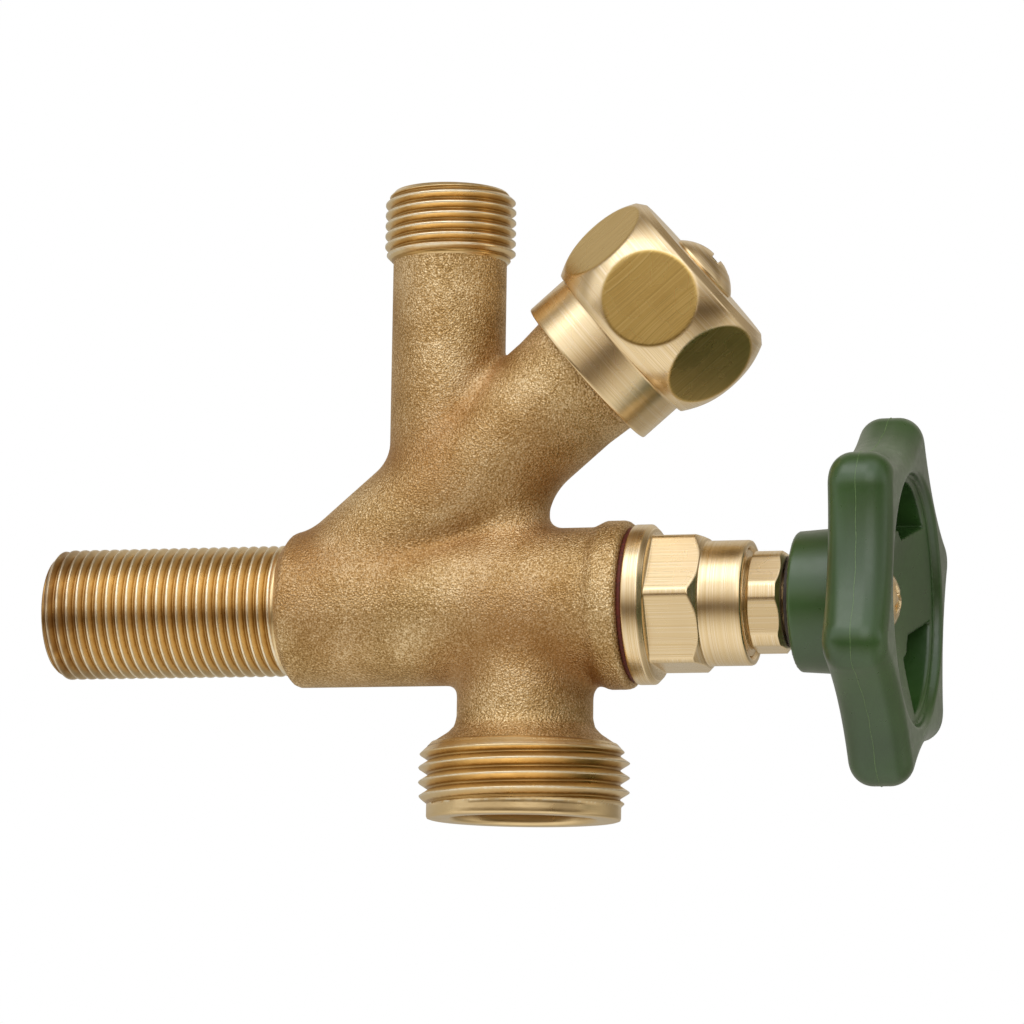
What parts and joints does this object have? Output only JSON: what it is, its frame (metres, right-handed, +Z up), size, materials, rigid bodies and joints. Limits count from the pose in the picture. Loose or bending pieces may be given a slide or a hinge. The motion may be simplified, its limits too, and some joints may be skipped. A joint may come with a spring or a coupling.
{
  "type": "dishwasher tap",
  "caption": "Brass angle tap for a kitchen: inlet shank, oblique stop valve with a hexagon cap, mixer outlet on top and a handwheel tap with a dishwasher hose outlet below.",
  "frame": {"origin": "centre of the inlet shank's end face, on the main axis", "axes": "+X along the main axis from the inlet shank to the handwheel, +Z up to the mixer outlet, the appliance outlet points down to -Z; the oblique stop valve lies in the XZ plane"},
  "size_m": [0.1116, 0.044, 0.0798],
  "materials": {
    "cast_brass": "sand-blasted casting with machined threads",
    "machined_brass": "turned and milled, bright",
    "wheel_plastic": "moulded, semi-gloss",
    "ring_rubber": "matt",
    "seat_rubber": "matt",
    "gasket_fibre": "pressed fibre",
    "packing": "pressed packing rings"
  },
  "bodies": {
    "casting": {"valve_body": "cast_brass", "tap_bonnet": "machined_brass", "tap_bonnet_gasket": "gasket_fibre", "tap_gland_nut": "machined_brass", "tap_gland_packing": "packing", "tap_packing_washer": "machined_brass", "stop_bonnet": "machined_brass", "stop_bonnet_gasket": "gasket_fibre", "stop_gland_nut": "machined_brass", "stop_gland_packing": "packing", "stop_packing_washer": "machined_brass"},
    "tap_disc": {"tap_disc_holder": "machined_brass", "tap_seat_washer": "seat_rubber", "tap_washer_nut": "machined_brass"},
    "tap_grip": {"tap_spindle": "machined_brass", "spindle_ring": "ring_rubber", "handwheel": "wheel_plastic", "handwheel_screw": "machined_brass"},
    "stop_disc": {"stop_disc_holder": "machined_brass", "stop_seat_washer": "seat_rubber", "stop_washer_nut": "machined_brass"},
    "stop_grip": {"stop_spindle": "machined_brass", "stop_cap": "machined_brass", "stop_cap_screw": "machined_brass"}
  },
  "joints": [
    {"name": "tap_lift", "type": "slide", "parent": "casting", "child": "tap_disc", "axis": [1, 0, 0], "range_m": [0, 0.004]},
    {"name": "tap_turn", "type": "hinge", "parent": "tap_disc", "child": "tap_grip", "pos_m": [0.09, 0, 0], "axis": [1, 0, 0], "range_deg": [0, 720]},
    {"name": "stop_lift", "type": "slide", "parent": "casting", "child": "stop_disc", "axis": [0.7604, 0, 0.6494], "range_m": [0, 0.004]},
    {"name": "stop_turn", "type": "hinge", "parent": "stop_disc", "child": "stop_grip", "pos_m": [0.07287, 0, 0.03247], "axis": [0.7604, 0, 0.6494], "range_deg": [0, 720]}
  ],
  "couplings": [
    {"joint": "tap_turn", "follows": "tap_lift", "rad_per_m": 3141.6},
    {"joint": "stop_turn", "follows": "stop_lift", "rad_per_m": 3141.6}
  ]
}
